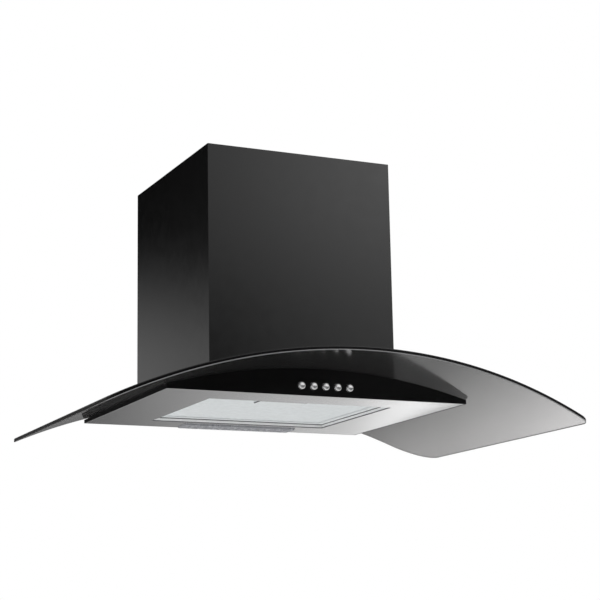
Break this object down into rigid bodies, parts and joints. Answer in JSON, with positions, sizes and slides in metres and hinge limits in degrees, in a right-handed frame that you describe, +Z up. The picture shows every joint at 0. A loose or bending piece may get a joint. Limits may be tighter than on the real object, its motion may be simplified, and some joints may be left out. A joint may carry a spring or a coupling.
{
  "type": "curved glass range hood",
  "caption": "Wall-mounted range hood: arched smoked-glass canopy over a slim body with push buttons, hinged grease filter, lamp, telescopic black chimney, blower and duct collar.",
  "frame": {"origin": "middle of the four wall holes, on the wall plane", "axes": "+X to the hood's right when facing it from the room, +Y into the wall, +Z up"},
  "size_m": [0.698, 0.498, 0.4025],
  "materials": {
    "black_paint": "satin black powder coat",
    "smoked_glass": "polished smoked tempered glass",
    "stainless": "satin brushed",
    "filter_aluminium": "anodised mesh and frame",
    "chrome": "polished",
    "zinc_steel": "galvanised sheet",
    "fastener_steel": "zinc plated",
    "black_plastic": "moulded",
    "white_reflector": "white enamel",
    "lamp_ceramic": "glazed",
    "bulb_glass": "clear",
    "clear_plastic": "clear moulded",
    "capacitor_white": "moulded",
    "rubber": "matt",
    "motor_steel": "plated",
    "bearing_steel": "ground"
  },
  "bodies": {
    "root": {"hood_body": "black_paint", "front_fascia": "black_paint", "chimney_lower": "black_paint", "glass_canopy": "smoked_glass", "underside_panel": "stainless", "blower_box": "zinc_steel", "wall_plate": "zinc_steel", "scroll_housing": "zinc_steel", "inlet_rings": "zinc_steel", "switch_bracket": "zinc_steel", "filter_hinge_ears": "zinc_steel", "motor_bracket": "zinc_steel", "capacitor_clip": "zinc_steel", "glass_screws": "fastener_steel", "box_screws": "fastener_steel", "spigot_screws": "fastener_steel", "chimney_screws": "fastener_steel", "switch_screws": "fastener_steel", "motor_screws": "fastener_steel", "outlet_spigot": "black_plastic", "switch_module": "black_plastic", "terminal_box": "black_plastic", "terminal_lid": "black_plastic", "cable_gland": "black_plastic", "lamp_reflector": "white_reflector", "lamp_holder": "lamp_ceramic", "lamp_bulb": "bulb_glass", "lamp_cover": "clear_plastic", "capacitor": "capacitor_white", "glass_washers": "rubber", "glass_seal": "rubber", "motor_bushes": "rubber", "motor_housing": "motor_steel", "motor_end_cover": "motor_steel", "motor_stator": "motor_steel", "motor_bearings": "bearing_steel"},
    "upper_chimney": {"chimney_upper": "black_paint", "chimney_bracket": "zinc_steel", "bracket_screws": "fastener_steel"},
    "fan": {"impeller": "black_plastic", "motor_shaft": "bearing_steel", "motor_rotor": "motor_steel"},
    "front_flap": {"flap_front": "black_plastic"},
    "rear_flap": {"flap_rear": "black_plastic"},
    "filter": {"filter_frame": "filter_aluminium", "filter_lower_mesh": "filter_aluminium", "filter_upper_mesh": "filter_aluminium", "filter_wool": "filter_aluminium", "filter_hinge_pins": "fastener_steel", "latch_rivets": "fastener_steel"},
    "latch": {"filter_latch": "filter_aluminium"},
    "push_1": {"button_1": "chrome"},
    "push_2": {"button_2": "chrome"},
    "push_3": {"button_3": "chrome"},
    "push_4": {"button_4": "chrome"},
    "push_5": {"button_5": "chrome"}
  },
  "joints": [
    {"name": "upper_chimney_slide", "type": "slide", "parent": "root", "child": "upper_chimney", "axis": [0, 0, 1], "range_m": [0, 0.25]},
    {"name": "fan_spin", "type": "hinge", "parent": "root", "child": "fan", "pos_m": [0, -0.1, -0.004], "axis": [1, 0, 0], "continuous": true},
    {"name": "front_flap_swing", "type": "hinge", "parent": "root", "child": "front_flap", "pos_m": [0, -0.1665, 0.0973], "axis": [-1, 0, 0], "range_deg": [0, 80]},
    {"name": "rear_flap_swing", "type": "hinge", "parent": "root", "child": "rear_flap", "pos_m": [0, -0.1575, 0.0973], "axis": [1, 0, 0], "range_deg": [0, 80]},
    {"name": "filter_swing", "type": "hinge", "parent": "root", "child": "filter", "pos_m": [0, -0.0635, -0.14], "axis": [1, 0, 0], "range_deg": [0, 80]},
    {"name": "latch_slide", "type": "slide", "parent": "filter", "child": "latch", "axis": [0, 1, 0], "range_m": [0, 0.005], "stiffness_N_per_m": 400},
    {"name": "push_1_press", "type": "slide", "parent": "root", "child": "push_1", "axis": [0, 1, 0], "range_m": [0, 0.003], "stiffness_N_per_m": 700},
    {"name": "push_2_press", "type": "slide", "parent": "root", "child": "push_2", "axis": [0, 1, 0], "range_m": [0, 0.003], "stiffness_N_per_m": 700},
    {"name": "push_3_press", "type": "slide", "parent": "root", "child": "push_3", "axis": [0, 1, 0], "range_m": [0, 0.003], "stiffness_N_per_m": 700},
    {"name": "push_4_press", "type": "slide", "parent": "root", "child": "push_4", "axis": [0, 1, 0], "range_m": [0, 0.003], "stiffness_N_per_m": 700},
    {"name": "push_5_press", "type": "slide", "parent": "root", "child": "push_5", "axis": [0, 1, 0], "range_m": [0, 0.003], "stiffness_N_per_m": 700}
  ]
}
